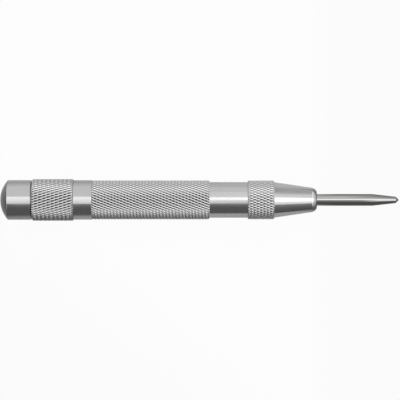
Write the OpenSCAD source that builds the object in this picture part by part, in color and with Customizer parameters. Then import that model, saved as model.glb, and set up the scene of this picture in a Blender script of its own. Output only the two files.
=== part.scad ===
// Automatic center punch: a spring-loaded hammer in a knurled barrel that fires when the point is pressed.
// The tool lies along X with its point towards +X and rests on the plane Z = 0, centred on X and Y.
// Stations are distances along the tool's axis from the rear end of its cap, in millimetres.

/* [End cap] */
// Diameter of the plain part
cap_d = 12.9; // [12.5:0.1:14]
// Radius of the domed end
cap_dome_r = 9; // [8:0.5:20]
// Length of the plain part
cap_plain_l = 7.9; // [6.5:0.1:14]
// Diameter over the knurl
cap_knurl_d = 13.6; // [13.2:0.1:16]
// Length of the knurled band
cap_knurl_l = 13.4; // [11:0.1:20]
// Thickness of the closed end
cap_floor_t = 6.5; // [4:0.1:8]
// Width of the run-out groove behind the knurl
cap_groove_w = 0.45; // [0.2:0.05:1]
// Depth of the run-out groove behind the knurl
cap_groove_t = 0.3; // [0.1:0.05:0.5]
// Diameter of the thread that the cap turns on
cap_thread_d = 11; // [10.4:0.1:11.2]

/* [Barrel] */
// Diameter of the collar in front of the cap
collar_d = 12.85; // [12.7:0.05:14]
// Length of the collar
collar_l = 5.9; // [3:0.1:10]
// Diameter over the knurled grip
grip_d = 12.7; // [12:0.1:14]
// Length of the knurled grip
grip_l = 38.3; // [32:0.1:60]
// Diameter of the plain front part
front_d = 11.6; // [11.4:0.1:13]
// Length of the plain front part
front_l = 12.5; // [10.5:0.1:20]
// Bore that guides the hammer
hammer_bore_d = 7.9; // [7.6:0.1:8.2]
// Length of the thread relief
relief_l = 1.2; // [0.6:0.1:2]
// Depth of the thread relief
relief_t = 0.6; // [0.2:0.1:0.7]

/* [Nose cap] */
// Diameter over the knurl
nose_knurl_d = 12.65; // [12.2:0.05:14]
// Length of the knurled band
nose_knurl_l = 8.5; // [5:0.1:14]
// Diameter at the large end of the cone
nose_cone_d = 11.6; // [11:0.1:12]
// Diameter at the small end of the cone
nose_cone_end_d = 8; // [7:0.1:9.5]
// Length of the cone
nose_cone_l = 12.2; // [8:0.1:20]
// Radius of the rounded front edge
nose_round_r = 2.4; // [1:0.1:2.6]
// Angle at which the rounding meets the front face
nose_round_angle = 58; // [40:1:62]
// Diameter of the thread in the barrel
nose_thread_d = 10; // [9.8:0.1:10.2]
// Length of the threaded spigot
nose_thread_l = 9.2; // [7:0.1:10]
// Bore that guides the plunger
plunger_bore_d = 6.5; // [6:0.1:7]
// Length of the bore that guides the point
guide_l = 10.2; // [6:0.1:12]

/* [Punch point] */
// Diameter of the point's shank
point_d = 3.8; // [3.2:0.1:4.2]
// Length of shank that shows in front of the nose
point_straight_l = 18.1; // [12:0.1:30]
// Length of the slender taper
point_taper_l = 7.65; // [4:0.05:12]
// Diameter where the taper ends
point_neck_d = 2.1; // [1.2:0.1:2.8]
// Included angle of the tip
tip_angle = 90; // [60:5:120]
// Diameter of the threaded tail
tail_d = 3; // [2.4:0.1:3]
// Length of the threaded tail
tail_l = 7.5; // [5:0.1:9]

/* [Plunger] */
// How far the point can be pressed in
press_travel = 9; // [6:0.5:10]
// Distance that the hammer drops before it strikes
strike_gap = 6; // [4:0.5:7]
// Diameter of the stem
stem_d = 2.4; // [2:0.1:2.6]
// Length of each guiding land
land_l = 4.5; // [3:0.1:5]
// Diameter of the waist between the lands
waist_d = 5.2; // [4.6:0.1:5.8]

/* [Hammer] */
// Length of the wide head
head_l = 4; // [3:0.5:6]
// Length that stays in the guiding bore behind the taper at rest
hammer_guide_l = 8; // [6:0.5:12]
// Diameter of the pocket for the return spring
spring_pocket_d = 4.9; // [4.8:0.1:5.2]
// Depth of the pocket for the return spring
spring_pocket_l = 6; // [5:0.1:7]
// Diameter of the pilots inside the main spring
pilot_d = 4.8; // [4:0.1:4.9]
// Length of the pilots inside the main spring
pilot_l = 3; // [1.5:0.1:4]

/* [Trip] */
// How far the trip block rests off centre
trip_offset = 0.75; // [0.6:0.05:0.8]
// Size of the square slot for the trip block
slot_w = 4; // [3.6:0.1:4.2]
// Distance from the block's hole to its foot
block_foot = 3.4; // [3.2:0.05:3.4]
// Height of the bevel that lets the leaf spring tilt under the block's foot
foot_bevel = 0.45; // [0.35:0.05:0.8]
// Thickness of the leaf spring
leaf_t = 0.25; // [0.15:0.05:0.25]
// Width of the leaf spring
leaf_w = 2.4; // [2:0.1:2.4]
// Length of the leaf spring's fixed end
leaf_root_l = 3; // [2.6:0.1:4]
// How far the leaf spring is already bent at rest
leaf_preload = 0.25; // [0.1:0.05:0.4]
// Diameter of the leaf screw's thread
screw_d = 1.2; // [1:0.1:1.4]
// Length of the leaf screw's thread
screw_l = 1.8; // [1.2:0.1:2]
// Diameter of the leaf screw's head
screw_head_d = 2.2; // [1.8:0.1:2.3]
// Height of the leaf screw's head
screw_head_h = 0.7; // [0.5:0.05:0.8]

/* [Springs and seat] */
// Wire of the main spring
main_wire = 1.2; // [0.9:0.05:1.3]
// Turns of the main spring
main_turns = 12; // [8:1:13]
// Wire of the return spring
return_wire = 0.5; // [0.3:0.05:0.5]
// Turns of the return spring
return_turns = 8; // [5:1:10]
// Gap between the closed end turns of a spring
end_turn_gap = 0.45; // [0.4:0.05:0.8]
// Diameter of the spring seat's flange
seat_d = 9.4; // [8.2:0.1:9.6]
// Thickness of the spring seat's flange
seat_t = 1.5; // [1:0.1:2.5]

/* [Fits] */
// Clearance on the radius of sliding fits
run_gap = 0.05; // [0.02:0.01:0.08]
// Clearance on the radius of threads
thread_gap = 0.05; // [0.02:0.01:0.08]
// Clearance between faces that bear on each other
face_gap = 0.05; // [0.02:0.01:0.1]
// Clearance of a spring round its pilot or in its bore
spring_gap = 0.15; // [0.1:0.01:0.2]
// Chamfer at the ends of the knurled bands
knurl_chamfer = 0.4; // [0.2:0.05:0.6]
// Edge break on turned corners
edge_break = 0.2; // [0.1:0.05:0.3]

/* [Hidden] */
$fn = 64;
arc_steps = 12;
wire_sides = 8;
rings_per_turn = 12;
past = 1; // how far a cut runs past the face that it opens

// Stations of the outside, from the rear end to the tip
dome_h = cap_dome_r - sqrt(pow(cap_dome_r, 2) - pow(cap_d / 2, 2));
cap_knurl_s = dome_h + cap_plain_l;
cap_front_s = cap_knurl_s + cap_knurl_l;
collar_s = cap_front_s + face_gap;
grip_s = collar_s + collar_l;
front_s = grip_s + grip_l;
nose_s = front_s + front_l;
cone_s = nose_s + nose_knurl_l;
cone_end_s = cone_s + nose_cone_l;
cone_angle = atan((nose_cone_d - nose_cone_end_d) / 2 / nose_cone_l);
nose_face_s = cone_end_s + nose_round_r * (sin(nose_round_angle) - sin(cone_angle));
taper_s = nose_face_s + point_straight_l;
neck_s = taper_s + point_taper_l;
tip_s = neck_s + point_neck_d / 2 / tan(tip_angle / 2);
axis_h = max(cap_d, cap_knurl_d, collar_d, grip_d, front_d, nose_knurl_d) / 2;

// Stations of the inside, which follow from where the pieces seat
seat_floor_s = cap_floor_t;
seat_rear_s = seat_floor_s + face_gap;
seat_face_s = seat_rear_s + seat_t;
barrel_rear_s = seat_face_s + face_gap;
cap_shoulder_s = seat_face_s - face_gap;
plunger_stop_s = nose_face_s - guide_l;
plunger_front_s = plunger_stop_s - face_gap;
spigot_rear_s = nose_s - nose_thread_l;
nose_bore_end_s = spigot_rear_s - relief_l / 2;
hammer_front_s = spigot_rear_s - face_gap;
anvil_s = hammer_front_s + strike_gap;
slot_front_s = hammer_front_s - head_l - press_travel + slot_w - relief_l / 2;
slot_rear_s = slot_front_s - slot_w;
block_front_s = slot_front_s - run_gap;
block_rear_s = slot_rear_s + run_gap;
stem_end_s = block_front_s + face_gap;
stem_bore_end_s = slot_rear_s - strike_gap - face_gap - edge_break;
hammer_rear_s = slot_rear_s - press_travel - hammer_guide_l;
pocket_floor_s = hammer_front_s - spring_pocket_l;
leaf_root_s = stem_bore_end_s - edge_break - screw_d / 2;
leaf_end_s = leaf_root_s - leaf_root_l;
leaf_tip_s = (slot_rear_s + slot_front_s) / 2;
screw_s = leaf_root_s - leaf_root_l / 2;

// Radii that fits decide
hammer_bore_r = hammer_bore_d / 2;
hammer_r = hammer_bore_r - run_gap;
chamber_r = hammer_bore_r + trip_offset;
head_r = chamber_r - run_gap;
stem_bore_r = stem_d / 2 + run_gap;
land_r = plunger_bore_d / 2 - run_gap;
leaf_seat_z = -block_foot + trip_offset - face_gap + leaf_preload;
main_mean_r = hammer_bore_r - spring_gap - main_wire / 2;
return_mean_r = spring_pocket_d / 2 - spring_gap - return_wire / 2;

// Puts a shape that stands on Z at station 0 of the tool's axis, with its Z along the tool
module on_axis() {
    translate([-tip_s / 2, 0, axis_h]) rotate([0, 90, 0]) children();
}

// Puts a shape at a station, with its own X along the tool and its own Z upwards
module at_station(s) {
    translate([s - tip_s / 2, 0, axis_h]) children();
}

// A turned solid from an outline of [radius, station] points
module turned(outline) {
    on_axis() rotate_extrude() polygon(outline);
}

// Points of an arc in an outline, from angle a to angle b
function arc(centre, r, a, b) = [for (i = [0:arc_steps])
    let (t = a + (b - a) * i / arc_steps) centre + r * [cos(t), sin(t)]];

// A threaded spigot's outline with its relief, from its free end to the shoulder that it screws up to
function spigot(r, free_s, shoulder_s) = let (d = sign(shoulder_s - free_s)) [
    [r - relief_t, free_s],
    [r, free_s + d * relief_t],
    [r, shoulder_s - d * relief_l],
    [r - relief_t, shoulder_s - d * relief_l],
    [r - relief_t, shoulder_s]];

module end_cap() {
    knurl_r = cap_knurl_d / 2;
    bore_r = cap_thread_d / 2;
    rim_angle = asin(cap_d / 2 / cap_dome_r);
    color("silver") turned(concat(
        arc([0, cap_dome_r], cap_dome_r, -90, rim_angle - 90),
        [[cap_d / 2, cap_knurl_s - cap_groove_w],
         [cap_d / 2 - cap_groove_t, cap_knurl_s - cap_groove_w],
         [cap_d / 2 - cap_groove_t, cap_knurl_s],
         [cap_d / 2, cap_knurl_s],
         [knurl_r, cap_knurl_s + knurl_chamfer],
         [knurl_r, cap_front_s - knurl_chamfer],
         [knurl_r - knurl_chamfer, cap_front_s],
         [bore_r + edge_break, cap_front_s],
         [bore_r, cap_front_s - edge_break],
         [bore_r, cap_shoulder_s],
         [seat_d / 2 + run_gap, cap_shoulder_s],
         [seat_d / 2 + run_gap, seat_floor_s],
         [0, seat_floor_s]]));
}

module spring_seat() {
    color("gray") turned([
        [0, seat_rear_s],
        [seat_d / 2, seat_rear_s],
        [seat_d / 2, seat_face_s],
        [pilot_d / 2, seat_face_s],
        [pilot_d / 2, seat_face_s + pilot_l - edge_break],
        [pilot_d / 2 - edge_break, seat_face_s + pilot_l],
        [0, seat_face_s + pilot_l]]);
}

module barrel() {
    thread_r = cap_thread_d / 2 - thread_gap;
    nose_bore_r = nose_thread_d / 2;
    color("silver") turned(concat(
        [[hammer_bore_r, barrel_rear_s]],
        spigot(thread_r, barrel_rear_s, collar_s),
        [[collar_d / 2 - edge_break, collar_s],
         [collar_d / 2, collar_s + edge_break],
         [collar_d / 2, grip_s - edge_break],
         [grip_d / 2 - knurl_chamfer, grip_s],
         [grip_d / 2, grip_s + knurl_chamfer],
         [grip_d / 2, front_s - knurl_chamfer],
         [front_d / 2, front_s],
         [front_d / 2, nose_s - edge_break],
         [front_d / 2 - edge_break, nose_s],
         [nose_bore_r + edge_break, nose_s],
         [nose_bore_r, nose_s - edge_break],
         [nose_bore_r, nose_bore_end_s],
         [chamber_r, nose_bore_end_s],
         [chamber_r, block_rear_s],
         [hammer_bore_r, block_rear_s - press_travel]]));
}

module hammer() {
    leaf_groove_w = max(leaf_w, screw_head_d) + 2 * run_gap;
    color("dimgray") difference() {
        turned([
            [0, hammer_rear_s - pilot_l],
            [pilot_d / 2 - edge_break, hammer_rear_s - pilot_l],
            [pilot_d / 2, hammer_rear_s - pilot_l + edge_break],
            [pilot_d / 2, hammer_rear_s],
            [hammer_r - edge_break, hammer_rear_s],
            [hammer_r, hammer_rear_s + edge_break],
            [hammer_r, hammer_front_s - head_l - edge_break],
            [head_r - edge_break, hammer_front_s - head_l],
            [head_r, hammer_front_s - head_l + edge_break],
            [head_r, hammer_front_s - edge_break],
            [head_r - edge_break, hammer_front_s],
            [spring_pocket_d / 2, hammer_front_s],
            [spring_pocket_d / 2, pocket_floor_s],
            [stem_bore_r, pocket_floor_s],
            [stem_bore_r, stem_bore_end_s],
            [0, stem_bore_end_s]]);
        at_station(slot_rear_s) translate([0, -slot_w / 2, -head_r - past])
            cube([slot_w, slot_w, 2 * (head_r + past)]);
        at_station(leaf_end_s - run_gap) translate([0, -leaf_groove_w / 2, -head_r - past])
            cube([slot_rear_s - leaf_end_s + run_gap + past, leaf_groove_w, leaf_seat_z + head_r + past]);
        at_station(screw_s) translate([0, 0, leaf_seat_z - past])
            cylinder(r = screw_d / 2 + thread_gap, h = screw_l + face_gap + past);
    }
}

// The block rests trip_offset above centre, where its hole is out of line with the stem
module trip_block() {
    width = slot_w - 2 * run_gap;
    length = block_front_s - block_rear_s;
    side = [[0, foot_bevel - block_foot],
        [length / 2, -block_foot],
        [length, -block_foot],
        [length, hammer_r],
        [0, hammer_r]];
    color("darkgray") at_station(block_rear_s) translate([0, 0, trip_offset]) difference() {
        intersection() {
            translate([0, width / 2, 0]) rotate([90, 0, 0]) linear_extrude(width) polygon(side);
            rotate([0, 90, 0]) cylinder(r = hammer_r, h = length);
        }
        translate([-past, 0, 0]) rotate([0, 90, 0]) cylinder(r = stem_bore_r, h = length + 2 * past);
    }
}

// A flat strip that bends from its screwed root like a cantilever, down to the trip block's foot
module leaf_spring() {
    free_l = leaf_tip_s - leaf_root_s;
    bent = [for (i = [0:arc_steps]) let (t = i / arc_steps)
        [leaf_root_l + free_l * t, -leaf_preload * (3 * t * t - t * t * t) / 2]];
    top = concat([[0, 0]], bent);
    bottom = [for (i = [len(top) - 1:-1:0]) top[i] - [0, leaf_t]];
    color("lightsteelblue") at_station(leaf_end_s) translate([0, leaf_w / 2, leaf_seat_z]) difference() {
        rotate([90, 0, 0]) linear_extrude(leaf_w) polygon(concat(top, bottom));
        translate([leaf_root_l / 2, -leaf_w / 2, -leaf_t - past])
            cylinder(r = screw_d / 2 + thread_gap, h = leaf_t + 2 * past);
    }
}

module leaf_screw() {
    slot_t = screw_head_h / 2;
    slot_width = screw_d / 4;
    color("gray") at_station(screw_s) translate([0, 0, leaf_seat_z - leaf_t]) difference() {
        union() {
            cylinder(r = screw_d / 2, h = leaf_t + screw_l);
            translate([0, 0, -screw_head_h]) cylinder(r = screw_head_d / 2, h = screw_head_h);
        }
        translate([-screw_head_d, -slot_width / 2, -screw_head_h - past])
            cube([2 * screw_head_d, slot_width, slot_t + past]);
    }
}

module plunger() {
    front_land_s = plunger_front_s - land_l;
    rear_land_s = anvil_s + land_l;
    waist_step = land_r - waist_d / 2;
    socket_s = plunger_front_s - tail_l - face_gap;
    color("darkgray") turned([
        [0, stem_end_s],
        [stem_d / 2 - edge_break, stem_end_s],
        [stem_d / 2, stem_end_s + edge_break],
        [stem_d / 2, anvil_s],
        [land_r - edge_break, anvil_s],
        [land_r, anvil_s + edge_break],
        [land_r, rear_land_s - waist_step],
        [waist_d / 2, rear_land_s],
        [waist_d / 2, front_land_s],
        [land_r, front_land_s + waist_step],
        [land_r, plunger_front_s - edge_break],
        [land_r - edge_break, plunger_front_s],
        [tail_d / 2 + thread_gap, plunger_front_s],
        [tail_d / 2 + thread_gap, socket_s],
        [0, socket_s]]);
}

module punch_point() {
    color("gray") turned([
        [0, plunger_front_s - tail_l],
        [tail_d / 2 - edge_break, plunger_front_s - tail_l],
        [tail_d / 2, plunger_front_s - tail_l + edge_break],
        [tail_d / 2, plunger_stop_s],
        [point_d / 2, plunger_stop_s],
        [point_d / 2, taper_s],
        [point_neck_d / 2, neck_s],
        [0, tip_s]]);
}

module nose_cap() {
    thread_r = nose_thread_d / 2 - thread_gap;
    guide_r = point_d / 2 + run_gap;
    round_centre = [nose_cone_end_d / 2, cone_end_s] - nose_round_r * [cos(cone_angle), sin(cone_angle)];
    color("silver") turned(concat(
        [[plunger_bore_d / 2, spigot_rear_s]],
        spigot(thread_r, spigot_rear_s, nose_s),
        [[nose_knurl_d / 2 - knurl_chamfer, nose_s],
         [nose_knurl_d / 2, nose_s + knurl_chamfer],
         [nose_knurl_d / 2, cone_s - knurl_chamfer],
         [nose_cone_d / 2, cone_s]],
        arc(round_centre, nose_round_r, cone_angle, nose_round_angle),
        [[guide_r + edge_break, nose_face_s],
         [guide_r, nose_face_s - edge_break],
         [guide_r, plunger_stop_s],
         [plunger_bore_d / 2, plunger_stop_s]]));
}

// Centre line of a coil spring from station 0 to its length, with its end turns closed up
function coil_line(length, mean_r, wire, turns) =
    let (end_pitch = wire + end_turn_gap,
        pitch = (length - wire - 2 * end_pitch) / (turns - 2))
    [for (i = [0:turns * rings_per_turn])
        let (u = i / rings_per_turn,
            s = u < 1 ? u * end_pitch : u > turns - 1
                ? length - wire - (turns - u) * end_pitch : end_pitch + (u - 1) * pitch)
        [mean_r * cos(360 * u), mean_r * sin(360 * u), wire / 2 + s]];

// Least gap between turns of a coil's wire, measured between points at least half a turn apart
function coil_gap(line, wire) = min([for (i = [0:len(line) - 1])
    for (j = [i + rings_per_turn / 2:1:len(line) - 1]) norm(line[i] - line[j])]) - wire;

// One unbroken wire swept along a coil's centre line
module coil(line, wire) {
    last = len(line) - 1;
    rings = [for (i = [0:last])
        let (out = [line[i][0], line[i][1], 0] / norm([line[i][0], line[i][1], 0]),
            along = line[min(i + 1, last)] - line[max(i - 1, 0)],
            side = cross(along, out) / norm(cross(along, out)))
        for (k = [0:wire_sides - 1])
            line[i] + wire / 2 * (cos(360 * k / wire_sides) * out + sin(360 * k / wire_sides) * side)];
    walls = [for (i = [0:last - 1]) for (k = [0:wire_sides - 1])
        let (a = i * wire_sides + k, b = i * wire_sides + (k + 1) % wire_sides)
        each [[a, a + wire_sides, b], [b, a + wire_sides, b + wire_sides]]];
    ends = [for (k = [1:wire_sides - 2])
        each [[0, k, k + 1], [last * wire_sides, last * wire_sides + k + 1, last * wire_sides + k]]];
    polyhedron(rings, concat(walls, ends));
}

module main_spring() {
    first_s = seat_face_s + face_gap;
    line = coil_line(hammer_rear_s - face_gap - first_s, main_mean_r, main_wire, main_turns);
    echo("least gap in the main spring, mm", coil_gap(line, main_wire));
    color("slategray") on_axis() translate([0, 0, first_s]) coil(line, main_wire);
}

module return_spring() {
    first_s = pocket_floor_s + face_gap;
    line = coil_line(anvil_s - face_gap - first_s, return_mean_r, return_wire, return_turns);
    echo("least gap in the return spring, mm", coil_gap(line, return_wire));
    color("lightgray") on_axis() translate([0, 0, first_s]) coil(line, return_wire);
}

end_cap();
spring_seat();
main_spring();
barrel();
hammer();
trip_block();
leaf_spring();
leaf_screw();
return_spring();
plunger();
punch_point();
nose_cap();
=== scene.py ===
import math

import bmesh
import bpy
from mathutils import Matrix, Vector


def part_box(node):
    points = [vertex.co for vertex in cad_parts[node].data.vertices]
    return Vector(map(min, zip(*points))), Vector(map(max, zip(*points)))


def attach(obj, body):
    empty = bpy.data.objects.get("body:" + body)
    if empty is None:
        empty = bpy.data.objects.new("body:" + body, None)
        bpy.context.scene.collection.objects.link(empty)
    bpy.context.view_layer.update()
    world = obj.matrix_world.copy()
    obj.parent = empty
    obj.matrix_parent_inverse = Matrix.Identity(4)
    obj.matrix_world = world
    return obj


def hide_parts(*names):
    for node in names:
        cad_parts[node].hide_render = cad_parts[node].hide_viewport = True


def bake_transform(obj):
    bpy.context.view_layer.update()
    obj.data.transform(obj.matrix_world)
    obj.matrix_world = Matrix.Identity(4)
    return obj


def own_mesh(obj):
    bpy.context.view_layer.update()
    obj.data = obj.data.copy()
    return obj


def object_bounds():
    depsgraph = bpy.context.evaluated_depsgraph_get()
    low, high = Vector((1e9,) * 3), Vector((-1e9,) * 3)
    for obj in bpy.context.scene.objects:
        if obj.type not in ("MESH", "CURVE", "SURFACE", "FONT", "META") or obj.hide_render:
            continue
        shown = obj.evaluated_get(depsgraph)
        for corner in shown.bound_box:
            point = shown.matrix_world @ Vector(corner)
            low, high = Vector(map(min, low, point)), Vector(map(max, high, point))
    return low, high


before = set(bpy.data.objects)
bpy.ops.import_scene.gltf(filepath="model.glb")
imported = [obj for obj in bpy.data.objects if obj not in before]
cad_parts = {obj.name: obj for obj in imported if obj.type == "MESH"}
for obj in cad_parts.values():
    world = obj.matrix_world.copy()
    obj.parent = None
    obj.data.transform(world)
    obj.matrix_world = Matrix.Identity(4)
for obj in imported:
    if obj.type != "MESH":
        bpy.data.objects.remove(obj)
cad_low, cad_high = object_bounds()

# Barrel
# The body of the tool, turned from one steel bar and satin plated. Its middle is diamond knurled for the
# hand, its rear end is threaded for the cap, and the stepped bore inside carries the hammer.
MM = 0.001
axis_height = (cad_low.z + cad_high.z) / 2
face_gap = 0.05 * MM
edge_radius = 0.12 * MM
barrel_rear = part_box("barrel")[0].x
barrel_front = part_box("barrel")[1].x
collar_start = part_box("end_cap")[1].x + face_gap
collar_length = 6.1 * MM
collar_radius = 6.425 * MM
collar_bevel = 0.1 * MM
grip_start = collar_start + collar_length
grip_length = 38.1 * MM
grip_end = grip_start + grip_length
grip_radius = 6.35 * MM
grip_starts = 44
grip_period = 2.115 * MM
grip_falling = 0.31 * MM
grip_rising = 0.22 * MM
knurl_chamfer = 0.2 * MM
knurl_flank = math.radians(43)
front_radius = 5.8 * MM
cap_thread_radius = 5.45 * MM
cap_thread_pitch = 1.0 * MM
thread_depth_share = 0.61
thread_flank = math.radians(30)
relief_length = 1.2 * MM
relief_depth = 0.6 * MM
hammer_bore_radius = 3.95 * MM
chamber_radius = 4.7 * MM
taper_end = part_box("trip_block")[0].x
taper_length = 9 * MM
nose_bore_radius = 5.0 * MM
nose_bore_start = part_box("nose_cap")[0].x - relief_length / 2
columns_per_start = 6
rings_per_pitch = 6
crease_angle = math.radians(60)
turning_lines = 9000.0


def add_node(tree, kind, *inputs, **settings):
    """Adds a node with its settings, and feeds its inputs in order with sockets or plain values."""
    node = tree.nodes.new(kind)
    for name, value in settings.items():
        setattr(node, name, value)
    for socket, value in zip(node.inputs, inputs):
        if isinstance(value, bpy.types.NodeSocket):
            tree.links.new(value, socket)
        elif value is not None:
            socket.default_value = value
    return node


def calc(tree, operation, *values):
    """A Math node's result."""
    return add_node(tree, "ShaderNodeMath", *values, operation=operation).outputs[0]


def new_inputs(tree, sockets):
    """Gives a node group its named inputs, and returns their sockets inside the group by name."""
    for name, kind, start in sockets:
        socket = tree.interface.new_socket(name, in_out="INPUT", socket_type=kind)
        if start is not None:
            socket.default_value = start
    inside = tree.nodes.new("NodeGroupInput")
    return {name: inside.outputs[name] for name, _, _ in sockets}


def groove(tree, phase, depth, rise):
    """Depth of one straight-sided groove per whole turn of the phase.
    Its flanks rise by the given height per turn."""
    aside = calc(tree, "PINGPONG", phase, 0.5)
    return calc(tree, "MAXIMUM", calc(tree, "SUBTRACT", depth, calc(tree, "MULTIPLY", aside, rise)), 0.0)


def between(tree, value, low, high):
    """1 where the value lies between two limits, otherwise 0."""
    above = calc(tree, "GREATER_THAN", value, low)
    return calc(tree, "MULTIPLY", above, calc(tree, "LESS_THAN", value, high))


def turning_tree():
    """Spins an outline of (x, 0, radius) points about the tool's axis.
    A knurl and a thread are cut into the outside where the inputs ask for them."""
    tree = bpy.data.node_groups.new("turned and knurled", "GeometryNodeTree")
    inp = new_inputs(tree, [
        ("Outline", "NodeSocketGeometry", None), ("Columns", "NodeSocketInt", 96),
        ("Axis Height", "NodeSocketFloat", 0.0), ("Sharp Angle", "NodeSocketFloat", 0.5),
        ("Knurl Starts", "NodeSocketFloat", 1.0), ("Knurl Period", "NodeSocketFloat", 1.0),
        ("Knurl From", "NodeSocketFloat", 0.0), ("Knurl To", "NodeSocketFloat", 0.0),
        ("Knurl Radius", "NodeSocketFloat", 0.0), ("Knurl Row", "NodeSocketFloat", 1.0),
        ("Knurl Rise", "NodeSocketFloat", 1.0), ("Falling Depth", "NodeSocketFloat", 0.0),
        ("Rising Depth", "NodeSocketFloat", 0.0), ("Thread Pitch", "NodeSocketFloat", 1.0),
        ("Thread Rise", "NodeSocketFloat", 1.0), ("Thread Depth", "NodeSocketFloat", 0.0),
        ("Thread From", "NodeSocketFloat", 0.0), ("Thread To", "NodeSocketFloat", 0.0),
        ("Thread Radius", "NodeSocketFloat", 0.0), ("Material", "NodeSocketMaterial", None)])
    tree.interface.new_socket("Geometry", in_out="OUTPUT", socket_type="NodeSocketGeometry")
    slack = 1e-6
    outside_share = 0.8
    # A flat grid: one row of points per outline point, one column per step round the axis
    rings = add_node(tree, "GeometryNodeAttributeDomainSize", inp["Outline"]).outputs["Point Count"]
    across = calc(tree, "ADD", inp["Columns"], 1.0)
    grid = add_node(tree, "GeometryNodeMeshGrid", 1.0, 1.0, rings, across).outputs["Mesh"]
    index = add_node(tree, "GeometryNodeInputIndex").outputs[0]
    ring = calc(tree, "FLOOR", calc(tree, "DIVIDE", calc(tree, "ADD", index, 0.5), across))
    column = calc(tree, "SUBTRACT", index, calc(tree, "MULTIPLY", ring, across))
    place = add_node(tree, "GeometryNodeInputPosition").outputs[0]
    sample = add_node(tree, "GeometryNodeSampleIndex", inp["Outline"], place, ring, data_type="FLOAT_VECTOR")
    split = add_node(tree, "ShaderNodeSeparateXYZ", sample.outputs[0])
    station, radius = split.outputs["X"], split.outputs["Z"]
    # Odd knurl rows are turned by half a column, so that both families of grooves follow the mesh's edges
    in_band = between(tree, station, calc(tree, "SUBTRACT", inp["Knurl From"], slack),
                      calc(tree, "ADD", inp["Knurl To"], slack))
    knurl_inside = calc(tree, "MULTIPLY", inp["Knurl Radius"], outside_share)
    in_band = calc(tree, "MULTIPLY", in_band, calc(tree, "GREATER_THAN", radius, knurl_inside))
    along = calc(tree, "SUBTRACT", station, inp["Knurl From"])
    row = calc(tree, "ROUND", calc(tree, "DIVIDE", along, inp["Knurl Row"]))
    odd = calc(tree, "MULTIPLY", calc(tree, "FLOORED_MODULO", row, 2.0), in_band)
    turn = calc(tree, "DIVIDE", calc(tree, "ADD", column, calc(tree, "MULTIPLY", odd, 0.5)), inp["Columns"])
    # Two crossing families of grooves leave the knurl's diamonds
    around = calc(tree, "MULTIPLY", turn, inp["Knurl Starts"])
    lead = calc(tree, "DIVIDE", along, inp["Knurl Period"])
    falling = groove(tree, calc(tree, "ADD", around, lead), inp["Falling Depth"], inp["Knurl Rise"])
    rising = groove(tree, calc(tree, "SUBTRACT", around, lead), inp["Rising Depth"], inp["Knurl Rise"])
    knurled = calc(tree, "SUBTRACT", inp["Knurl Radius"], calc(tree, "MAXIMUM", falling, rising))
    knurled = calc(tree, "MINIMUM", radius, knurled)
    cut = add_node(tree, "GeometryNodeSwitch", in_band, radius, knurled, input_type="FLOAT").outputs[0]
    # A right-hand thread that runs out at both ends
    in_thread = between(tree, station, inp["Thread From"], inp["Thread To"])
    thread_inside = calc(tree, "MULTIPLY", inp["Thread Radius"], outside_share)
    in_thread = calc(tree, "MULTIPLY", in_thread, calc(tree, "GREATER_THAN", radius, thread_inside))
    from_end = calc(tree, "MINIMUM", calc(tree, "SUBTRACT", station, inp["Thread From"]),
                    calc(tree, "SUBTRACT", inp["Thread To"], station))
    turns_from_end = calc(tree, "DIVIDE", from_end, inp["Thread Pitch"])
    run_out = add_node(tree, "ShaderNodeClamp", turns_from_end).outputs[0]
    helix = calc(tree, "ADD", calc(tree, "DIVIDE", station, inp["Thread Pitch"]), turn)
    valley = groove(tree, helix, calc(tree, "MULTIPLY", inp["Thread Depth"], run_out), inp["Thread Rise"])
    cut = calc(tree, "SUBTRACT", cut, calc(tree, "MULTIPLY", valley, in_thread))
    # Wrap the grid round the axis and close its seam and poles
    angle = calc(tree, "MULTIPLY", turn, 2 * math.pi)
    aside = calc(tree, "MULTIPLY", cut, calc(tree, "SINE", angle))
    above = calc(tree, "MULTIPLY", cut, calc(tree, "COSINE", angle))
    height = calc(tree, "ADD", inp["Axis Height"], above)
    wrapped = add_node(tree, "ShaderNodeCombineXYZ", station, aside, height).outputs[0]
    shaped = add_node(tree, "GeometryNodeSetPosition", grid, None, wrapped).outputs[0]
    closed = add_node(tree, "GeometryNodeMergeByDistance", shaped)
    closed.inputs["Distance"].default_value = slack
    faced = add_node(tree, "GeometryNodeTriangulate", closed.outputs[0],
                     quad_method="SHORTEST_DIAGONAL").outputs[0]
    smooth = add_node(tree, "GeometryNodeSetShadeSmooth", faced, None, True).outputs[0]
    bend = add_node(tree, "GeometryNodeInputMeshEdgeAngle").outputs["Unsigned Angle"]
    sharp = calc(tree, "GREATER_THAN", bend, inp["Sharp Angle"])
    creased = add_node(tree, "GeometryNodeSetShadeSmooth", smooth, sharp, False, domain="EDGE").outputs[0]
    real = add_node(tree, "GeometryNodeRealizeInstances", creased).outputs[0]
    dressed = add_node(tree, "GeometryNodeSetMaterial", real, None, inp["Material"]).outputs[0]
    add_node(tree, "NodeGroupOutput", dressed)
    return tree


turned_and_knurled = turning_tree()


def soften(outline, reach):
    """Rounds the corners of an outline, each no further than a third of its shorter side.
    A point beside each rounding keeps the shading of the straight sides level."""
    steps = 4
    hold = 1.4
    nearly_straight = math.radians(170)
    soft = [outline[0]]
    for before, corner, after in zip(outline, outline[1:], outline[2:]):
        here = Vector(corner)
        back, ahead = Vector(before) - here, Vector(after) - here
        if back.angle(ahead) > nearly_straight:
            soft.append(corner)
            continue
        r = min(reach, back.length / 3, ahead.length / 3)
        start, end = here + back.normalized() * r, here + ahead.normalized() * r
        soft.append(tuple(here + back.normalized() * (r * hold)))
        for k in range(steps + 1):
            t = k / steps
            soft.append(tuple(start * (1 - t) ** 2 + here * (2 * t * (1 - t)) + end * t ** 2))
        soft.append(tuple(here + ahead.normalized() * (r * hold)))
    soft.append(outline[-1])
    return soft


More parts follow.
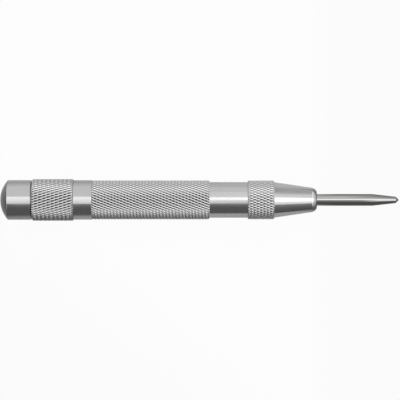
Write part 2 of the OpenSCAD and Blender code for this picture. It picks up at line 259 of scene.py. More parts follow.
def stepped(start, end, length):
    """Evenly spaced stations from start, with the end as the last one."""
    spare = 0.01
    count = int((end - start) / length - spare)
    return [start + i * length for i in range(count + 1)] + [end]


def grow(piece, tree, values):
    """Runs a node tree on a piece with the named values, and keeps the result as the piece's plain mesh."""
    modifier = piece.modifiers.new(tree.name, "NODES")
    modifier.node_group = tree
    for item in tree.interface.items_tree:
        if item.in_out == "INPUT" and item.name in values:
            modifier[item.identifier] = values[item.name]
    made = bpy.data.meshes.new_from_object(piece.evaluated_get(bpy.context.evaluated_depsgraph_get()))
    piece.modifiers.clear()
    piece.data = made
    made.name = piece.name


def turned(name, outline, body, slot, material, columns=128, **sizes):
    """A turned piece from an outline of (station, radius) points, riding on a body.
    It has the knurl and the thread that the sizes ask for."""
    mesh = bpy.data.meshes.new(name)
    mesh.from_pydata([(x, 0, r) for x, r in outline], [(i, i + 1) for i in range(len(outline) - 1)], [])
    piece = bpy.data.objects.new(name, mesh)
    bpy.context.scene.collection.objects.link(piece)
    values = {"Columns": columns, "Axis Height": axis_height, "Sharp Angle": crease_angle,
              "Material": material}
    grow(piece, turned_and_knurled, {**values, **sizes})
    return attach(piece, body)


def knurl(start, end, radius, starts, period, falling, rising):
    """The points of a knurled band's outline, and its sizes.
    Both families of grooves meet on the points' rows, and the band's ends are chamfered."""
    row = period / (2 * columns_per_start)
    round_step = 2 * math.pi * radius / starts
    spacing = round_step * math.cos(math.atan(round_step / period))
    points = [(x, radius - max(0.0, knurl_chamfer - (x - start), knurl_chamfer - (end - x)))
              for x in stepped(start, end, row)]
    sizes = {"columns": starts * columns_per_start, "Knurl Starts": float(starts), "Knurl Period": period,
             "Knurl From": start, "Knurl To": end, "Knurl Radius": radius, "Knurl Row": row,
             "Knurl Rise": spacing * math.tan(knurl_flank), "Falling Depth": falling, "Rising Depth": rising}
    return points, sizes


def screw_thread(start, end, radius, pitch):
    """The points of a screw thread's outline, and its sizes."""
    depth = pitch * thread_depth_share
    points = [(x, radius) for x in stepped(start, end, pitch / rings_per_pitch)]
    sizes = {"Thread Pitch": pitch, "Thread Rise": pitch / math.tan(thread_flank), "Thread Depth": depth,
             "Thread From": start, "Thread To": end, "Thread Radius": radius}
    return points, sizes


def turning_marks():
    """Fine lines that a lathe tool or a polishing belt leaves round a turned piece, as a height.
    A mask of broader smudges comes with them."""
    line_drift = 60.0
    line_detail = 3.0
    smudge_scale = 220.0
    smudge_detail = 4.0
    group = bpy.data.node_groups.new("turning marks", "ShaderNodeTree")
    inp = new_inputs(group, [("Vector", "NodeSocketVector", None),
                             ("Lines", "NodeSocketFloat", turning_lines),
                             ("Drift", "NodeSocketFloat", line_drift)])
    group.interface.new_socket("Height", in_out="OUTPUT", socket_type="NodeSocketFloat")
    group.interface.new_socket("Smudge", in_out="OUTPUT", socket_type="NodeSocketFloat")
    stretch = add_node(group, "ShaderNodeCombineXYZ", inp["Lines"], inp["Drift"], inp["Drift"]).outputs[0]
    scaled = add_node(group, "ShaderNodeVectorMath", inp["Vector"], stretch, operation="MULTIPLY").outputs[0]
    lines = add_node(group, "ShaderNodeTexNoise", scaled, noise_dimensions="3D")
    lines.inputs["Scale"].default_value = 1.0
    lines.inputs["Detail"].default_value = line_detail
    smudge = add_node(group, "ShaderNodeTexNoise", inp["Vector"], noise_dimensions="3D")
    smudge.inputs["Scale"].default_value = smudge_scale
    smudge.inputs["Detail"].default_value = smudge_detail
    out = group.nodes.new("NodeGroupOutput")
    group.links.new(lines.outputs[0], out.inputs["Height"])
    group.links.new(smudge.outputs[0], out.inputs["Smudge"])
    return group


def groove_dirt_and_shade():
    """How far a point lies down in the grooves of a band: 0 on the crests, 1 at the groove bottoms.
    Oil and dust gather there, and the mask also paints shade there. A second mask says what belongs to the
    band."""
    group = bpy.data.node_groups.new("groove dirt and shade", "ShaderNodeTree")
    inp = new_inputs(group, [("Vector", "NodeSocketVector", None), ("Axis Height", "NodeSocketFloat", 0.0),
                             ("Crest Radius", "NodeSocketFloat", 0.0), ("Depth", "NodeSocketFloat", 1.0),
                             ("Crest Clear Share", "NodeSocketFloat", 0.0),
                             ("From", "NodeSocketFloat", 0.0), ("To", "NodeSocketFloat", 0.0)])
    group.interface.new_socket("Dirt And Shade", in_out="OUTPUT", socket_type="NodeSocketFloat")
    group.interface.new_socket("Band", in_out="OUTPUT", socket_type="NodeSocketFloat")
    split = add_node(group, "ShaderNodeSeparateXYZ", inp["Vector"])
    up = calc(group, "SUBTRACT", split.outputs["Z"], inp["Axis Height"])
    reach = calc(group, "SQRT", calc(group, "ADD", calc(group, "POWER", split.outputs["Y"], 2.0),
                                     calc(group, "POWER", up, 2.0)))
    sunk = calc(group, "DIVIDE", calc(group, "SUBTRACT", inp["Crest Radius"], reach), inp["Depth"])
    sunk = add_node(group, "ShaderNodeMapRange", sunk, inp["Crest Clear Share"], 1.0, 0.0, 1.0).outputs[0]
    band = between(group, split.outputs["X"], inp["From"], inp["To"])
    add_node(group, "NodeGroupOutput", calc(group, "MULTIPLY", sunk, band), band)
    return group


marks_group = turning_marks()
dirt_and_shade_group = groove_dirt_and_shade()
satin_colour = (0.465, 0.465, 0.47)
barrel_roughness = 0.14
burnished_colour = (0.7, 0.7, 0.705)
# Near black at the knurl's groove bottoms: oil in part, painted shade in the main.
groove_oil_and_shade_colour = (0.004, 0.004, 0.004)
# Painted shade in the cap's cut-in groove.
slit_shade_colour = (0.13, 0.13, 0.13)
crest_clear_share = 0.04
rolled_roughness = 0.06
dull_share = 0.82


def place_dirt_and_shade(tree, where, sizes):
    """Puts the groove mask of oil, dust and painted shade into a material for the band with the given sizes.
    """
    dirt_and_shade = add_node(tree, "ShaderNodeGroup", node_tree=dirt_and_shade_group)
    tree.links.new(where, dirt_and_shade.inputs["Vector"])
    dirt_and_shade.inputs["Axis Height"].default_value = axis_height
    for key, value in sizes.items():
        dirt_and_shade.inputs[key].default_value = value
    return dirt_and_shade.outputs


def mix_colours(tree, share, first, second):
    """A colour between two, each a plain colour or a socket."""
    mix = add_node(tree, "ShaderNodeMix", data_type="RGBA")
    sockets = {socket.identifier: socket for socket in mix.inputs}
    tree.links.new(share, sockets["Factor_Float"])
    for key, value in (("A_Color", first), ("B_Color", second)):
        if isinstance(value, bpy.types.NodeSocket):
            tree.links.new(value, sockets[key])
        else:
            sockets[key].default_value = (*value, 1)
    return mix.outputs[2]


def steel(name, colour, roughness, lines=turning_lines, line_height=0.05, smudge_share=0.06, dull=None,
          band=None, slit=None):
    """A steel finish: its colour, with turning marks in its tone, roughness and relief.
    A knurled band gets burnished crests and grooves darkened by oil and painted shade, and a slit gets
    painted shade."""
    smudge_range = (0.3, 0.7)
    line_range = (0.35, 0.75)
    line_tint = 0.35
    line_depth = 0.02 * MM
    material = bpy.data.materials.new(name)
    material.use_nodes = True
    tree = material.node_tree
    shader = tree.nodes["Principled BSDF"]
    shader.inputs["Metallic"].default_value = 1.0
    where = tree.nodes.new("ShaderNodeTexCoord").outputs["Object"]
    marks = add_node(tree, "ShaderNodeGroup", node_tree=marks_group)
    tree.links.new(where, marks.inputs["Vector"])
    marks.inputs["Lines"].default_value = lines
    rough = add_node(tree, "ShaderNodeMapRange", marks.outputs["Smudge"], *smudge_range,
                     roughness - smudge_share, roughness + smudge_share).outputs[0]
    shade = add_node(tree, "ShaderNodeMapRange", marks.outputs["Height"], *line_range,
                     0.0, line_tint).outputs[0]
    tint = mix_colours(tree, shade, colour, dull or [c * dull_share for c in colour])
    # The knurl grades from burnished crests to near black at the groove bottoms: oil there, and painted
    # shade.
    if band:
        dirt_and_shade = place_dirt_and_shade(tree, where, {**band, "Crest Clear Share": crest_clear_share})
        crest_to_groove_tint = mix_colours(tree, dirt_and_shade["Dirt And Shade"], burnished_colour, groove_oil_and_shade_colour)
        tint = mix_colours(tree, dirt_and_shade["Band"], tint, crest_to_groove_tint)
        smoother = calc(tree, "MULTIPLY", dirt_and_shade["Band"], rolled_roughness - roughness)
        rough = calc(tree, "ADD", rough, smoother)
    # The cap's cut-in groove gets painted shade.
    if slit:
        tint = mix_colours(tree, place_dirt_and_shade(tree, where, slit)["Dirt And Shade"], tint, slit_shade_colour)
    tree.links.new(tint, shader.inputs["Base Color"])
    tree.links.new(rough, shader.inputs["Roughness"])
    bump = add_node(tree, "ShaderNodeBump")
    bump.inputs["Strength"].default_value = line_height
    bump.inputs["Distance"].default_value = line_depth
    tree.links.new(marks.outputs["Height"], bump.inputs["Height"])
    tree.links.new(bump.outputs[0], shader.inputs["Normal"])
    return material


grip_rows, grip_sizes = knurl(grip_start, grip_end, grip_radius, grip_starts, grip_period,
                              grip_falling, grip_rising)
rear_rows, rear_sizes = screw_thread(barrel_rear + relief_depth, collar_start - relief_length,
                                     cap_thread_radius, cap_thread_pitch)
collar = soften([
    (collar_start - relief_length, cap_thread_radius - relief_depth),
    (collar_start, cap_thread_radius - relief_depth),
    (collar_start, collar_radius),
    (grip_start - collar_bevel, collar_radius),
    (grip_start, grip_radius - knurl_chamfer)], 2 * edge_radius)
front = soften([
    (grip_end, grip_radius - knurl_chamfer),
    (grip_end, front_radius),
    (barrel_front, front_radius),
    (barrel_front, nose_bore_radius),
    (nose_bore_start, nose_bore_radius),
    (nose_bore_start, chamber_radius),
    (taper_end, chamber_radius),
    (taper_end - taper_length, hammer_bore_radius),
    (barrel_rear, hammer_bore_radius)], edge_radius)
barrel_outline = (
    [(barrel_rear, hammer_bore_radius), (barrel_rear, cap_thread_radius - relief_depth)]
    + rear_rows + collar[:-1] + grip_rows + front[1:])
barrel_steel = steel("satin steel, knurled grip", satin_colour, barrel_roughness,
                     band={"Crest Radius": grip_radius, "Depth": grip_falling,
                           "From": grip_start + knurl_chamfer, "To": grip_end - knurl_chamfer})
barrel = turned("barrel_turned", barrel_outline, "barrel", "body_steel", barrel_steel,
                **grip_sizes, **rear_sizes)
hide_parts("barrel")

# Hammer
# The striker that the main spring drives. It is turned from tool steel, slotted across for the trip block,
# hardened and oil blackened, so it keeps a dull dark skin.
hammer_colour = (0.10, 0.10, 0.11)
hammer_worn_colour = (0.2, 0.19, 0.18)
hammer_roughness = 0.34
hammer_lines = 5000.0
hammer_black = steel("oil black hammer", hammer_colour, hammer_roughness, lines=hammer_lines,
                     dull=hammer_worn_colour)


def dress(node, material):
    """Gives a solid that keeps its own shape a finish."""
    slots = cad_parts[node].data.materials
    slots.clear()
    slots.append(material)


dress("hammer", hammer_black)

# Trip block
# A square block of hardened steel, ground all over, that slides across the hammer. The plunger's stem
# pushes on its face, and passes through its hole once the block is centred.
ground_colour = (0.5, 0.5, 0.515)
ground_roughness = 0.2
ground_lines = 14000.0
ground_steel = steel("ground steel", ground_colour, ground_roughness, lines=ground_lines)
dress("trip_block", ground_steel)

# Leaf spring
# A strip of blued spring steel, screwed to the hammer at its root. Its tip holds the trip block off centre,
# and in the real tool it bends with the block.
leaf_colour = (0.07, 0.10, 0.22)
leaf_worn_colour = (0.12, 0.12, 0.24)
leaf_roughness = 0.24
leaf_lines = 3000.0
weld_distance = 1e-7
leaf_blue = steel("blued strip", leaf_colour, leaf_roughness, lines=leaf_lines, dull=leaf_worn_colour)
leaf_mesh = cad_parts["leaf_spring"].data.copy()
leaf_work = bmesh.new()
leaf_work.from_mesh(leaf_mesh)
bmesh.ops.remove_doubles(leaf_work, verts=leaf_work.verts, dist=weld_distance)
leaf_work.to_mesh(leaf_mesh)
leaf_work.free()
leaf_mesh.materials.clear()
leaf_mesh.materials.append(leaf_blue)
leaf = bpy.data.objects.new("leaf_strip", leaf_mesh)
bpy.context.scene.collection.objects.link(leaf)
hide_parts("leaf_spring")
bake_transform(leaf)

# Leaf screw
# A small slotted cheese-head screw, turned from bright steel. Its thread runs into the hammer, and its head
# clamps the leaf's root in the hammer's groove.
screw_colour = (0.6, 0.6, 0.61)
screw_roughness = 0.18
screw_lines = 12000.0
bright_turned = steel("bright turned steel", screw_colour, screw_roughness, lines=screw_lines)
dress("leaf_screw", bright_turned)

# Return spring
# A light coil of bright drawn wire with closed end turns, set between the hammer's pocket and the plunger.
# It pushes the point out again after each stroke.
return_mean_radius = 2.05 * MM
return_wire_thickness = 0.5 * MM
return_turns = 8
return_colour = (0.6, 0.6, 0.62)
return_roughness = 0.2
wire_lines = 400.0
wire_line_height = 0.02
end_turn_gap = 0.45 * MM
rings_per_turn = 32
wire_sides = 12


def coil_tree():
    """Sweeps a round wire along a line of points."""
    tree = bpy.data.node_groups.new("coiled wire", "GeometryNodeTree")
    inp = new_inputs(tree, [("Line", "NodeSocketGeometry", None), ("Wire Radius", "NodeSocketFloat", 0.001),
                            ("Sides", "NodeSocketInt", 12), ("Material", "NodeSocketMaterial", None)])
    tree.interface.new_socket("Geometry", in_out="OUTPUT", socket_type="NodeSocketGeometry")
    path = add_node(tree, "GeometryNodeMeshToCurve", inp["Line"]).outputs[0]
    section = add_node(tree, "GeometryNodeCurvePrimitiveCircle", inp["Sides"])
    tree.links.new(inp["Wire Radius"], section.inputs["Radius"])
    wire = add_node(tree, "GeometryNodeCurveToMesh", path, section.outputs[0])
    wire.inputs["Fill Caps"].default_value = True
    smooth = add_node(tree, "GeometryNodeSetShadeSmooth", wire.outputs[0], None, True).outputs[0]
    bend = add_node(tree, "GeometryNodeInputMeshEdgeAngle").outputs["Unsigned Angle"]
    sharp = calc(tree, "GREATER_THAN", bend, crease_angle)
    creased = add_node(tree, "GeometryNodeSetShadeSmooth", smooth, sharp, False, domain="EDGE").outputs[0]
    real = add_node(tree, "GeometryNodeRealizeInstances", creased).outputs[0]
    dressed = add_node(tree, "GeometryNodeSetMaterial", real, None, inp["Material"]).outputs[0]
    add_node(tree, "NodeGroupOutput", dressed)
    return tree


coiled_wire = coil_tree()


def coil(name, node, mean_radius, wire, turns, body, material):
    """A coil spring with closed end turns, between the ends of the solid that it stands for."""
    low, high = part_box(node)
    length = high.x - low.x
    end_pitch = wire + end_turn_gap
    pitch = (length - wire - 2 * end_pitch) / (turns - 2)
    points = []
    for i in range(turns * rings_per_turn + 1):
        u = i / rings_per_turn
        first_turn = min(u, 1) * end_pitch
        open_turns = min(max(u - 1, 0), turns - 2) * pitch
        last_turn = max(u - turns + 1, 0) * end_pitch
        along = first_turn + open_turns + last_turn
        angle = 2 * math.pi * u
        points.append((low.x + wire / 2 + along, mean_radius * math.sin(angle),
                       axis_height - mean_radius * math.cos(angle)))
    mesh = bpy.data.meshes.new(name)
    mesh.from_pydata(points, [(i, i + 1) for i in range(len(points) - 1)], [])
    piece = bpy.data.objects.new(name, mesh)
    bpy.context.scene.collection.objects.link(piece)
    grow(piece, coiled_wire, {"Wire Radius": wire / 2, "Sides": wire_sides, "Material": material})
    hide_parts(node)
    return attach(piece, body)


bright_wire = steel("bright drawn wire", return_colour, return_roughness, lines=wire_lines,
                    line_height=wire_line_height)
coil("return_coil", "return_spring", return_mean_radius, return_wire_thickness, return_turns,
     "plunger", bright_wire)

# Plunger
# A ground piston with two guiding lands. Its stem lifts the hammer, its rear face is the anvil, and the point
# screws into its front.
plunger_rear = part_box("plunger")[0].x
plunger_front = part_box("plunger")[1].x
stem_radius = 1.2 * MM
land_radius = 3.2 * MM
waist_radius = 2.6 * MM
land_length = 4.5 * MM
anvil_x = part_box("return_spring")[1].x + face_gap
socket_radius = 1.55 * MM
socket_depth = 7.55 * MM
inner_columns = 96
plunger_outline = soften([
    (plunger_rear, 0),
    (plunger_rear, stem_radius),
    (anvil_x, stem_radius),
    (anvil_x, land_radius),
    (anvil_x + land_length - (land_radius - waist_radius), land_radius),
    (anvil_x + land_length, waist_radius),
    (plunger_front - land_length, waist_radius),
    (plunger_front - land_length + (land_radius - waist_radius), land_radius),
    (plunger_front, land_radius),
    (plunger_front, socket_radius),
    (plunger_front - socket_depth, socket_radius),
    (plunger_front - socket_depth, 0)], edge_radius)
plunger = turned("plunger_turned", plunger_outline, "plunger", "inner_steel", ground_steel,
                 columns=inner_columns)
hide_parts("plunger")

# Punch point
# A pin of hardened tool steel, screwed into the plunger so that a worn one can be changed. It is ground
# parallel, then to a slender taper and a tip of 90 degrees, and polished.
point_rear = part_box("punch_point")[0].x
point_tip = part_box("punch_point")[1].x
point_radius = 1.9 * MM
tail_radius = 1.5 * MM
neck_radius = 1.05 * MM
point_taper_length = 7.65 * MM
tip_blunt = 0.06 * MM
tip_edge = 0.05 * MM
tail_pitch = 0.5 * MM
tail_chamfer = 0.3 * MM
tail_lead = 0.2 * MM
tail_run_out = 0.4 * MM
tail_land = 0.3 * MM
point_colour = (0.37, 0.365, 0.36)
point_roughness = 0.05
point_lines = 16000.0
point_smudge = 0.03
point_shoulder = plunger_front + face_gap
neck_x = point_tip - neck_radius
polished_point = steel("hardened polished point", point_colour, point_roughness, lines=point_lines,
                       smudge_share=point_smudge)
tail_rows, tail_sizes = screw_thread(point_rear + tail_lead, point_shoulder - tail_run_out,
                                     tail_radius, tail_pitch)
pin = soften([
    (point_shoulder, tail_radius),
    (point_shoulder, point_radius),
    (neck_x - point_taper_length, point_radius),
    (neck_x, neck_radius)], edge_radius)
tip = soften([
    (neck_x - 0.5 * point_taper_length, (neck_radius + point_radius) / 2),
    (neck_x, neck_radius),
    (point_tip - tip_blunt, tip_blunt),
    (point_tip, 0)], tip_edge)
point_outline = (
    [(point_rear, 0), (point_rear, tail_radius - tail_chamfer)] + tail_rows
    + [(point_shoulder - tail_land, tail_radius), (point_shoulder, tail_radius)] + pin[1:-1] + tip[1:])
point = turned("point_ground", point_outline, "plunger", "point_steel", polished_point, **tail_sizes)
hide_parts("punch_point")

# Nose cap
# A turned steel cap that screws into the barrel's front and guides the point. Its rim is knurled so that it
# can be turned off by hand to change the point, and a cone runs from the rim to a rounded mouth.
nose_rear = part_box("nose_cap")[0].x
nose_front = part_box("nose_cap")[1].x
nose_shoulder = barrel_front
nose_knurl_radius = 6.325 * MM
nose_knurl_length = 8.5 * MM
nose_starts = 43
nose_period = 2.15 * MM
nose_falling = 0.21 * MM
nose_rising = 0.2 * MM
nose_thread_radius = 4.95 * MM
nose_thread_pitch = 0.75 * MM
cone_start = nose_shoulder + nose_knurl_length
cone_length = 12.2 * MM
cone_radius = 5.8 * MM
cone_end_radius = 4.0 * MM
mouth_radius = 2.4 * MM
mouth_end_angle = math.radians(58)
plunger_bore_radius = 3.25 * MM
guide_radius = 1.95 * MM
cone_angle = math.atan((cone_radius - cone_end_radius) / cone_length)
mouth_centre = (cone_start + cone_length - mouth_radius * math.sin(cone_angle),
                cone_end_radius - mouth_radius * math.cos(cone_angle))
arc_steps = 12
nose_roughness = 0.12
mouth = [(mouth_centre[0] + mouth_radius * math.sin(a), mouth_centre[1] + mouth_radius * math.cos(a))
         for a in [cone_angle + (mouth_end_angle - cone_angle) * i / arc_steps for i in range(arc_steps + 1)]]
nose_rows, nose_sizes = knurl(nose_shoulder, cone_start, nose_knurl_radius, nose_starts, nose_period,
                              nose_falling, nose_rising)
spigot_rows, spigot_sizes = screw_thread(nose_rear + relief_depth, nose_shoulder - relief_length,
                                         nose_thread_radius, nose_thread_pitch)
spigot_relief = soften([
    (nose_shoulder - relief_length, nose_thread_radius),
    (nose_shoulder - relief_length, nose_thread_radius - relief_depth),
    (nose_shoulder, nose_thread_radius - relief_depth),
    (nose_shoulder, nose_knurl_radius - knurl_chamfer)], edge_radius)
cone = soften([
    (cone_start, nose_knurl_radius - knurl_chamfer),
    (cone_start, cone_radius),
    mouth[0]], edge_radius)
nose_bore = soften([
    mouth[-1],
    (nose_front, guide_radius),
    (point_shoulder, guide_radius),
    (point_shoulder, plunger_bore_radius),
    (nose_rear, plunger_bore_radius)], edge_radius)
nose_outline = (
    [(nose_rear, plunger_bore_radius), (nose_rear, nose_thread_radius - relief_depth)]
    + spigot_rows + spigot_relief[:-1] + nose_rows + cone[1:-1] + mouth + nose_bore[1:])
nose_steel = steel("satin steel, knurled nose", satin_colour, nose_roughness,
                   band={"Crest Radius": nose_knurl_radius, "Depth": nose_falling,
                         "From": nose_shoulder + knurl_chamfer, "To": cone_start - knurl_chamfer})
nose = turned("nose_turned", nose_outline, "barrel", "body_steel", nose_steel, **nose_sizes, **spigot_sizes)
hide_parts("nose_cap")

# Main spring
# A stout coil of oil-tempered wire with closed end turns, set between the seat and the hammer. In the real
# tool, pressing the point shortens it by the press travel.
main_mean_radius = 3.2 * MM
main_wire_thickness = 1.2 * MM
main_turns = 12
tempered_colour = (0.16, 0.165, 0.19)
tempered_roughness = 0.3
oil_tempered = steel("oil-tempered wire", tempered_colour, tempered_roughness, lines=wire_lines,
                     line_height=wire_line_height)
main_coil = coil("main_coil", "main_spring", main_mean_radius, main_wire_thickness, main_turns,
                 "barrel", oil_tempered)
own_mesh(main_coil)

# Spring seat
# A flanged washer with a pilot, turned and ground, that carries the main spring's rear end. It lies loose on
# the cap's floor, so that the cap turns on it without winding up the spring.
seat_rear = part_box("spring_seat")[0].x
seat_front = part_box("spring_seat")[1].x
seat_radius = 4.7 * MM
seat_thickness = 1.5 * MM
pilot_radius = 2.4 * MM
seat_outline = soften([
    (seat_rear, 0),
    (seat_rear, seat_radius),
    (seat_rear + seat_thickness, seat_radius),
    (seat_rear + seat_thickness, pilot_radius),
    (seat_front, pilot_radius),
    (seat_front, 0)], edge_radius)
seat = turned("seat_turned", seat_outline, "spring_seat", "inner_steel", ground_steel, columns=inner_columns)
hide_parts("spring_seat")

# End cap
# A steel cap with a domed end that fits the palm, screwed on the barrel's rear thread. Its knurled skirt is
# turned by hand to set how hard the tool strikes.
cap_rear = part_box("end_cap")[0].x
cap_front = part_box("end_cap")[1].x
cap_radius = 6.45 * MM
dome_radius = 9.66 * MM
dome_flattening = 0.25 * MM
cap_knurl_radius = 6.8 * MM
cap_knurl_length = 13.25 * MM
cap_starts = 47
cap_period = 2.69 * MM
cap_falling = 0.22 * MM
cap_rising = 0.31 * MM
cap_groove_width = 0.45 * MM
cap_groove_depth = 0.3 * MM
cap_bore_radius = 5.5 * MM
seat_pocket_radius = 4.75 * MM
cap_knurl_start = cap_front - cap_knurl_length
cap_shoulder = barrel_rear - 2 * face_gap
seat_floor = seat_rear - face_gap
rim_angle = math.asin(cap_radius / dome_radius)
dome_start = cap_rear + dome_flattening
dome_steps = 24
cap_roughness = 0.15
dome = [(dome_start + dome_radius * (1 - math.cos(a)), dome_radius * math.sin(a))
        for a in [rim_angle * i / dome_steps for i in range(dome_steps + 1)]]
cap_rows, cap_sizes = knurl(cap_knurl_start, cap_front, cap_knurl_radius, cap_starts, cap_period,
                            cap_falling, cap_rising)
plain_band = soften([
    dome[-3],
    dome[-1],
    (cap_knurl_start - cap_groove_width, cap_radius),
    (cap_knurl_start - cap_groove_width, cap_radius - cap_groove_depth),
    (cap_knurl_start, cap_radius - cap_groove_depth),
    (cap_knurl_start, cap_knurl_radius - knurl_chamfer)], 2 * edge_radius)
cap_bore = soften([
    (cap_front, cap_knurl_radius - knurl_chamfer),
    (cap_front, cap_bore_radius),
    (cap_shoulder, cap_bore_radius),
    (cap_shoulder, seat_pocket_radius),
    (seat_floor, seat_pocket_radius),
    (seat_floor, 0)], edge_radius)
cap_outline = dome[:-2] + plain_band[1:-1] + cap_rows + cap_bore[1:]
# The cap's slit mask puts painted shade into its cut-in groove.
cap_steel = steel("satin steel, knurled cap", satin_colour, cap_roughness,
                  band={"Crest Radius": cap_knurl_radius, "Depth": cap_rising,
                        "From": cap_knurl_start + knurl_chamfer, "To": cap_front - knurl_chamfer},
                  slit={"Crest Radius": cap_radius, "Depth": cap_groove_depth,
                        "From": cap_knurl_start - cap_groove_width, "To": cap_knurl_start})
cap = turned("cap_turned", cap_outline, "end_cap", "body_steel", cap_steel, **cap_sizes)
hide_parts("end_cap")

# Table
# A plain white table that the tool lies on, white to the camera. The steel mirrors it with painted shadow:
# its tone and its glow for reflections are bright beyond the tool and painted dark in front of it, under the
# point and behind the cap.
floor_size = 12.0
table_side = (0.6, 0.8, 0.0)
table_grey = 0.55
# Painted shadow: the table's tone greys in front of the tool, under the point and behind the cap.
table_front_shadow_grey = 0.15
table_shadow_fade = (-0.075, -0.03)
camera_white = 0.95
# Painted reflection: the glow that the steel mirrors fades dark in front of the tool.
shine_side = (0.3, 0.95, 0.0)
shine_fade = (0.008, 0.028)
shine_dark = 0.03
shine_light = 0.75
point_shadow_fade = (0.036, 0.046)
point_shadow_share = 0.3
point_shadow_reach = (0.05, 0.09)
rear_shadow_fade = (-0.075, -0.063)
rear_shadow_share = 0.6
bpy.ops.mesh.primitive_plane_add(size=floor_size)
floor = bpy.context.object
floor.name = "table"
table_white = bpy.data.materials.new("white table")
table_white.use_nodes = True
table_tree = table_white.node_tree
table_tree.nodes.clear()
table_glow = add_node(table_tree, "ShaderNodeEmission", (1, 1, 1, 1), 1.0).outputs[0]
table_path = add_node(table_tree, "ShaderNodeLightPath")
table_place = add_node(table_tree, "ShaderNodeTexCoord").outputs["Object"]
table_facing = add_node(table_tree, "ShaderNodeVectorMath", table_place, table_side,
                        operation="DOT_PRODUCT").outputs["Value"]
shine_facing = add_node(table_tree, "ShaderNodeVectorMath", table_place, shine_side,
                        operation="DOT_PRODUCT").outputs["Value"]
table_split = add_node(table_tree, "ShaderNodeSeparateXYZ", table_place)
table_shadow_share = add_node(table_tree, "ShaderNodeMapRange", table_split.outputs["X"], *point_shadow_fade,
                       1.0, point_shadow_share).outputs[0]
table_clear = add_node(table_tree, "ShaderNodeMapRange", table_split.outputs["Y"], *point_shadow_reach,
                       0.0, 1.0).outputs[0]
table_shadow_share = calc(table_tree, "MAXIMUM", table_shadow_share, table_clear)
# Painted shadow in the table's tone, in front of the tool, under the point and behind the cap.
table_shaded_tone = add_node(table_tree, "ShaderNodeMapRange", table_facing, *table_shadow_fade,
                      table_front_shadow_grey, table_grey).outputs[0]
table_rear_shadow = add_node(table_tree, "ShaderNodeMapRange", table_split.outputs["X"], *rear_shadow_fade,
                      rear_shadow_share, 1.0).outputs[0]
table_shaded_tone = calc(table_tree, "MULTIPLY", table_shaded_tone, table_shadow_share)
table_shaded_tone = calc(table_tree, "MULTIPLY", table_shaded_tone, table_rear_shadow)
table_paper = add_node(table_tree, "ShaderNodeBsdfDiffuse", table_shaded_tone).outputs[0]
# Painted reflection: the glow for the steel's mirror is dark in front and under the point, and light beyond.
table_painted_shine = add_node(table_tree, "ShaderNodeMapRange", shine_facing, *shine_fade,
                       shine_dark, shine_light).outputs[0]
table_painted_shine = calc(table_tree, "MULTIPLY", table_painted_shine, table_shadow_share)
table_mirrored = calc(table_tree, "MAXIMUM", table_path.outputs["Is Glossy Ray"],
                      table_path.outputs["Is Transmission Ray"])
table_shown = calc(table_tree, "MULTIPLY", table_path.outputs["Is Camera Ray"], camera_white)
table_painted_shine = calc(table_tree, "MULTIPLY", table_mirrored, table_painted_shine)
table_seen = calc(table_tree, "MAXIMUM", table_shown, table_painted_shine)
table_mix = add_node(table_tree, "ShaderNodeMixShader", table_seen, table_paper, table_glow).outputs[0]
add_node(table_tree, "ShaderNodeOutputMaterial", table_mix)
floor.data.materials.append(table_white)

# Room
# The studio round the table, light at the far right and dark at the front left. Bright windows beyond both
# ends of the tool stop short of the front, and a grey flag stands low at the far right.
light_side = (0.5, 0.95, 0.0)
room_fade = (-0.8, 0.45)
room_dark = 0.17
room_light = 1.1
window_side = 0.5
window_half = 0.07
window_edge = 0.14
window_light = 1.6
window_front = (-0.9, -0.6)
flag_side = 0.24
flag_half = 0.07
flag_edge = 0.11
flag_share = 0.6
flag_top = (0.5, 0.8)
flag_near = (0.0, 0.3)
room = bpy.data.worlds.new("studio room")
bpy.context.scene.world = room
room.use_nodes = True
room_tree = room.node_tree
room_tree.nodes.clear()
room_direction = add_node(room_tree, "ShaderNodeTexCoord").outputs["Generated"]
room_facing = add_node(room_tree, "ShaderNodeVectorMath", room_direction, light_side,
                       operation="DOT_PRODUCT").outputs["Value"]
room_level = add_node(room_tree, "ShaderNodeMapRange", room_facing, *room_fade, room_dark, room_light,
                      interpolation_type="SMOOTHSTEP").outputs[0]
room_split = add_node(room_tree, "ShaderNodeSeparateXYZ", room_direction)
flag_off = calc(room_tree, "ABSOLUTE", calc(room_tree, "SUBTRACT", room_split.outputs["X"], flag_side))
flag_tone = add_node(room_tree, "ShaderNodeMapRange", flag_off, flag_half, flag_edge,
                     flag_share, 1.0).outputs[0]
flag_over = add_node(room_tree, "ShaderNodeMapRange", room_split.outputs["Z"], *flag_top,
                     0.0, 1.0).outputs[0]
flag_before = add_node(room_tree, "ShaderNodeMapRange", room_split.outputs["Y"], *flag_near,
                       1.0, 0.0).outputs[0]
flag_clear = calc(room_tree, "MAXIMUM", flag_over, flag_before)
room_level = calc(room_tree, "MULTIPLY", room_level, calc(room_tree, "MAXIMUM", flag_tone, flag_clear))
room_across = calc(room_tree, "ABSOLUTE", room_split.outputs["X"])
window_off = calc(room_tree, "ABSOLUTE", calc(room_tree, "SUBTRACT", room_across, window_side))
room_windows = add_node(room_tree, "ShaderNodeMapRange", window_off, window_half, window_edge,
                        window_light, 0.0).outputs[0]
window_share = add_node(room_tree, "ShaderNodeMapRange", room_split.outputs["Y"], *window_front,
                        0.0, 1.0).outputs[0]
room_windows = calc(room_tree, "MULTIPLY", room_windows, window_share)
room_level = calc(room_tree, "MAXIMUM", room_level, room_windows)
room_seen = add_node(room_tree, "ShaderNodeLightPath").outputs["Is Camera Ray"]
room_shown = calc(room_tree, "MAXIMUM", room_level, room_seen)
room_walls = add_node(room_tree, "ShaderNodeBackground", room_shown).outputs[0]
add_node(room_tree, "ShaderNodeOutputWorld", room_walls)

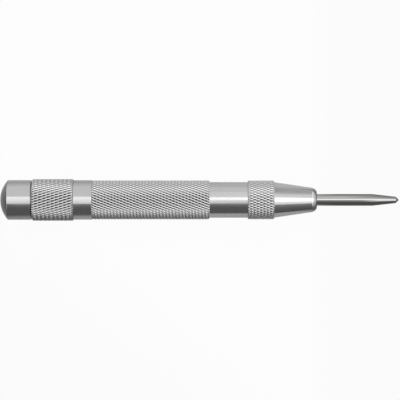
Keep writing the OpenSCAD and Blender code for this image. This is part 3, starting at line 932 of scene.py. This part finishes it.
# Lights
# Level soft lights over the table. The top light is drawn back over the point, the strip light makes the long
# highlight, two small ones light the cone, and a weak one fills in the far side.
top_height = 2.4
top_brightness = 0.85
top_left = -4.35
top_right = 3.15
top_depth = (-1.02, 0.8)
point_left = 0.11
point_right = 0.5
point_depth = (-0.15, 0.8)
strip_height = 2.3
strip_brightness = 0.9
strip_across = (0.0, 3.5)
strip_depth = (0.055, 0.505)
cone_across = (0.55, 1.25)
cone_depth = (-0.5, 0.055)
front_depth = (-1.52, -1.0)
fill_brightness = 0.22
fill_across = (-0.06, 3.0)
fill_depth = (0.785, 3.075)


def softbox(name, across, depth, height, brightness):
    """A level soft light over the table, from left to right and from front to back.
    Its face has the given brightness."""
    lamp = bpy.data.lights.new(name, "AREA")
    lamp.shape = "RECTANGLE"
    lamp.size = across[1] - across[0]
    lamp.size_y = depth[1] - depth[0]
    lamp.energy = brightness * lamp.size * lamp.size_y * math.pi
    stand = bpy.data.objects.new(name, lamp)
    stand.location = (sum(across) / 2, sum(depth) / 2, height)
    stand.visible_camera = False
    bpy.context.scene.collection.objects.link(stand)


softbox("top light over the body", (top_left, point_left), top_depth, top_height, top_brightness)
softbox("top light over the point", (point_left, point_right), point_depth, top_height, top_brightness)
softbox("top light beyond the point", (point_right, top_right), top_depth, top_height, top_brightness)
softbox("strip light", strip_across, strip_depth, strip_height, strip_brightness)
softbox("cone light", cone_across, cone_depth, strip_height, strip_brightness)
softbox("front light", cone_across, front_depth, top_height, strip_brightness)
softbox("fill light", fill_across, fill_depth, top_height, fill_brightness)

# Camera
# It looks straight down on the tool through a long lens, so that the tool fills the frame from end to end as
# in the photograph.
photo_width = 400
tool_span = 399.3
tool_left = -0.4
axis_row = 199.9
lens = 200.0
sensor_width = 36.0
camera_data = bpy.data.cameras.new("camera")
camera_data.lens = lens
camera_data.sensor_width = sensor_width
camera = bpy.data.objects.new("camera", camera_data)
pixel = (cad_high.x - cad_low.x) / tool_span
distance = photo_width * pixel * lens / sensor_width
camera.location = (cad_low.x + (photo_width / 2 - tool_left) * pixel, (axis_row - photo_width / 2) * pixel,
                   axis_height + distance)
bpy.context.scene.collection.objects.link(camera)
bpy.context.scene.camera = camera
bpy.context.scene.view_settings.view_transform = "Standard"
